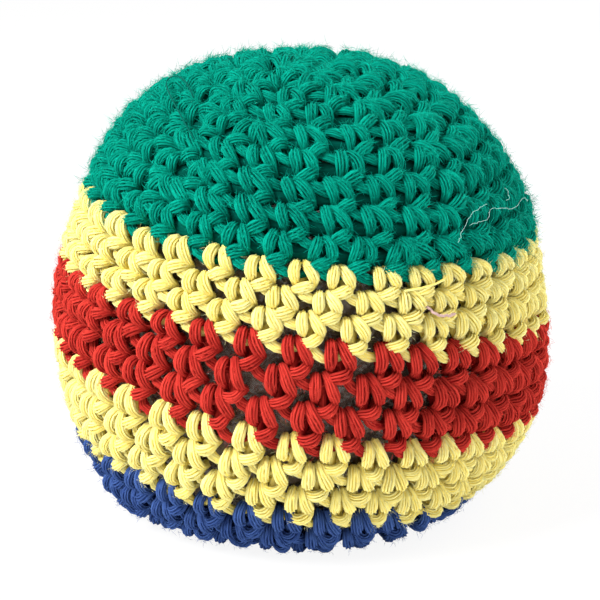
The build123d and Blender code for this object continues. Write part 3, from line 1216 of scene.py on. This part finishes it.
# %% Where the loose threads lie
LOOSE_THREADS = {  # finish, radius in mm, and the line
    "green_loop": ("green_yarn", 0.10, [
        (4.14, -139, -0.4), (4.0, -142, 0.5), (3.76, -152, 0.9), (3.80, -162, 1.0),
        (4.10, -164, 0.9), (4.36, -152, 0.8), (4.8, -138, 0.6), (5.3, -129, 0.4),
        (5.7, -123, -0.6)]),
    "yellow_ply": ("yellow_yarn", 0.15, [
        (10.32, -66, -0.8), (10.30, -64, 0.2), (10.28, -61, 0.35), (10.2, -58, 0.3),
        (10.08, -55, -0.2), (10.0, -53, -1.0)]),
    "crown_lint": ("tie_thread", 0.022, [
        (8.95, -50, 0.0), (8.7, -49, 0.3), (8.45, -47, 0.4), (8.2, -44, 0.5),
        (8.08, -40, 0.5), (8.1, -35, 0.2)]),
    "crown_lint_branch": ("tie_thread", 0.022, [
        (8.5, -46, 0.3), (8.47, -42, 0.5), (8.5, -39, 0.5), (8.4, -37, 0.5),
        (8.23, -37, 0.4), (8.28, -34, 0.5), (8.42, -29, 0.5), (8.58, -23, 0.4),
        (8.45, -19, 0.6), (8.42, -16, 0.7), (8.72, -13, 0.4), (8.6, -12, 0.3)]),
    "crown_lint_end": ("tie_thread", 0.022, [
        (7.85, -25, 0.3), (8.05, -24, 0.5), (8.25, -25, 0.3), (8.2, -27, 0.2)]),
    "band_lint": ("lint", 0.17, [
        (11.0, -61, -0.9), (11.2, -60, 0.0), (11.42, -59, 0.3), (11.5, -57, 0.35),
        (11.5, -55, 0.2), (11.6, -53, -0.6)]),
}
print("loose threads:", len(LOOSE_THREADS))

# %% Loose threads
LOOSE_STEPS = 4
CRINKLE = {"tie_thread": 0.07 * MM, "lint": 0.07 * MM}  # how far lint kinks from its line
CRINKLE_SEED = 5
DARK_PLY = (0.0, 0.075, 0.055)
PALE_LINT = (0.34, 0.62, 0.58)
GREY_LINT = (0.40, 0.27, 0.25)


def loose_thread(name, radius, route, material, crinkle):
    """A thin round thread along a route over the ball."""
    rounds_down, around, height = np.array(route).T
    points, outward = place(rounds_down, np.radians(around), -height * MM)
    values = np.concatenate([points, outward, np.ones((len(route), 2))], 1)
    samples = smooth_samples(values, LOOSE_STEPS)[None, : (len(route) - 1) * LOOSE_STEPS + 1]
    samples[..., :3] += crinkle * np.random.default_rng(CRINKLE_SEED).normal(
        size=samples[..., :3].shape)
    return grown(name, edge_mesh(f"{name}_line", [samples], [0]), STRANDS,
                 CORE | {"Strand Radius": radius * MM, "Material": material})


loose_finish = {
    "green_yarn": fibre_material("pulled_green_ply", DARK_PLY),
    "yellow_yarn": yarn_finish["yellow_yarn"],
    "tie_thread": fibre_material("pale_lint", PALE_LINT),
    "lint": fibre_material("grey_lint", GREY_LINT)}
for name, (finish, radius, route) in LOOSE_THREADS.items():
    thread = loose_thread(name, radius, route, loose_finish[finish], CRINKLE.get(finish, 0))
    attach(thread, "root")
    print(name, len(thread.data.polygons), "faces")

# %% [markdown]
# ## Camera, light and floor
#
# The camera looks a little down on the ball, with a long lens that keeps it round. A soft key
# lamp on the left, a weak fill, one lamp behind and a pale world light it at a plain level.
# Floor and world show white to the camera through Light Path, because more light would
# bleach the yarn, and the floor keeps some of the ball's shadow.

# %% Camera
LENS = 124.3
CENTRING = Vector((0.2, 2.3, 0)) * MM  # centres the ball in the frame
ball_middle = Vector(middle)
camera_data = bpy.data.cameras.new("camera")
camera = put("camera", camera_data)
bpy.context.scene.camera = camera
elevation, distance = math.radians(17), 0.273
back = Vector((0, -math.cos(elevation), math.sin(elevation)))
camera.rotation_mode = "QUATERNION"
camera.rotation_quaternion = (-back).to_track_quat("-Z", "Y")
camera.location = ball_middle + back * distance + camera.rotation_quaternion @ CENTRING
camera_data.lens = LENS
camera_data.clip_start = 0.01
print("camera in mm:", [round(side / MM) for side in camera.location])

# %% Lamps, world and floor
WHITE_SHARE = 0.9  # of what the camera sees of the floor is plain white
WORLD_LIGHT = 0.65  # on the ball, where 1 is the white that the camera sees


def studio_rays(graph):
    """1 for rays from the camera, or by gloss or glass, and 0 for rays of light."""
    rays = graph.add("ShaderNodeLightPath")
    return rays.out("Is Camera Ray").math("MAXIMUM", rays.out("Is Glossy Ray")).math(
        "MAXIMUM", rays.out("Is Transmission Ray"))


scene = bpy.context.scene
scene.view_settings.view_transform = "Standard"
world = bpy.data.worlds.new("studio")
scene.world = world
world.use_nodes = True
world.node_tree.nodes.clear()
graph = Graph(world.node_tree)
shown = studio_rays(graph)
level = WORLD_LIGHT + shown * (1 - WORLD_LIGHT)
sky = graph.add("ShaderNodeBackground", None, {"Color": (1, 1, 1, 1), "Strength": level})
world_output = graph.tree.nodes.new("ShaderNodeOutputWorld")
graph.tree.links.new(sky.socket, world_output.inputs["Surface"])

floor_material, graph = new_material("pale_floor")
paper = graph.add("ShaderNodeBsdfDiffuse", None, {"Color": (0.9, 0.9, 0.9, 1)})
white = graph.add("ShaderNodeEmission", None, {"Color": (1, 1, 1, 1), "Strength": 1.0})
seen = graph.add("ShaderNodeMixShader", None, {
    0: studio_rays(graph) * WHITE_SHARE, 1: paper, 2: white})
finish_surface(graph, seen)
floor_mesh = bpy.data.meshes.new("floor")
floor_mesh.from_pydata([(-3, -3, 0), (3, -3, 0), (3, 3, 0), (-3, 3, 0)], [], [(0, 1, 2, 3)])
floor_mesh.materials.append(floor_material)
floor = put("floor", floor_mesh)


def lamp(name, place_at, size, power):
    """A square soft lamp that faces the ball."""
    data = bpy.data.lights.new(name, "AREA")
    data.size = size
    data.energy = power
    light = put(name, data)
    light.location = place_at
    light.rotation_mode = "QUATERNION"
    light.rotation_quaternion = (Vector(place_at) - ball_middle).to_track_quat("Z", "Y")


lamp("key", (-0.30, -0.20, 0.36), 0.20, 4.0)
lamp("fill", (0.30, -0.30, 0.15), 0.40, 0.5)
lamp("edge", (0.34, 0.22, 0.16), 0.30, 1.6)
